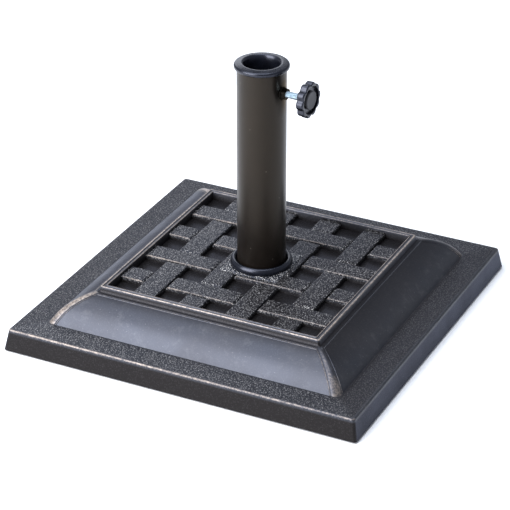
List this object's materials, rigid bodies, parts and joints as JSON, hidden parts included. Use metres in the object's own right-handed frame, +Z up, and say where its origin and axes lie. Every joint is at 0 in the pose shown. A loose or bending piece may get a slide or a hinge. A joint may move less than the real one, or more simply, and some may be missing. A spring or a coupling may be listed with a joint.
{
  "type": "parasol base",
  "caption": "Square weighted parasol base with a woven relief, steel stem tube, lift-out reducer collar and a lobed clamp screw that grips the pole.",
  "frame": {"origin": "on the ground, under the centre of the square plate", "axes": "+Z up along the stem tube; the front edge faces -Y; the clamp screw points towards +X, turned 5 degrees to the front"},
  "size_m": [0.45, 0.45, 0.3227],
  "materials": {
    "bronzed_resin": "satin",
    "cast_cement": "matte",
    "foot_rubber": "matte",
    "powder_coated_steel": "satin",
    "zinc_plated_steel": "satin",
    "black_plastic": "satin",
    "grey_plastic": "matte",
    "white_nylon": "satin"
  },
  "bodies": {
    "stand": {"base_shell": "bronzed_resin", "ballast_fill": "cast_cement", "stem_socket": "black_plastic", "foot_pad_1": "foot_rubber", "foot_pad_2": "foot_rubber", "foot_pad_3": "foot_rubber", "foot_pad_4": "foot_rubber", "bolt_sleeve": "grey_plastic", "anchor_washer": "zinc_plated_steel", "spring_washer": "zinc_plated_steel", "anchor_bolt": "zinc_plated_steel", "stem_floor": "zinc_plated_steel", "floor_nut": "zinc_plated_steel", "stem_tube": "powder_coated_steel", "foot_ring": "black_plastic", "clamp_nut": "powder_coated_steel"},
    "collar": {"top_collar": "black_plastic"},
    "pressure_pad": {"clamp_tip": "white_nylon"},
    "clamp_screw": {"clamp_stud": "zinc_plated_steel", "clamp_knob": "black_plastic", "knob_cap": "grey_plastic"}
  },
  "joints": [
    {"name": "collar_lift", "type": "slide", "parent": "stand", "child": "collar", "axis": [0, 0, 1], "range_m": [0, 0.03]},
    {"name": "clamp_travel", "type": "slide", "parent": "stand", "child": "pressure_pad", "axis": [-0.9962, 0.0872, 0], "range_m": [0, 0.02]},
    {"name": "clamp_turn", "type": "hinge", "parent": "pressure_pad", "child": "clamp_screw", "pos_m": [0, 0, 0.29], "axis": [-0.9962, 0.0872, 0], "range_deg": [0, 5750]}
  ],
  "couplings": [
    {"joint": "clamp_travel", "follows": "clamp_turn", "m_per_rad": 0.00019894}
  ]
}
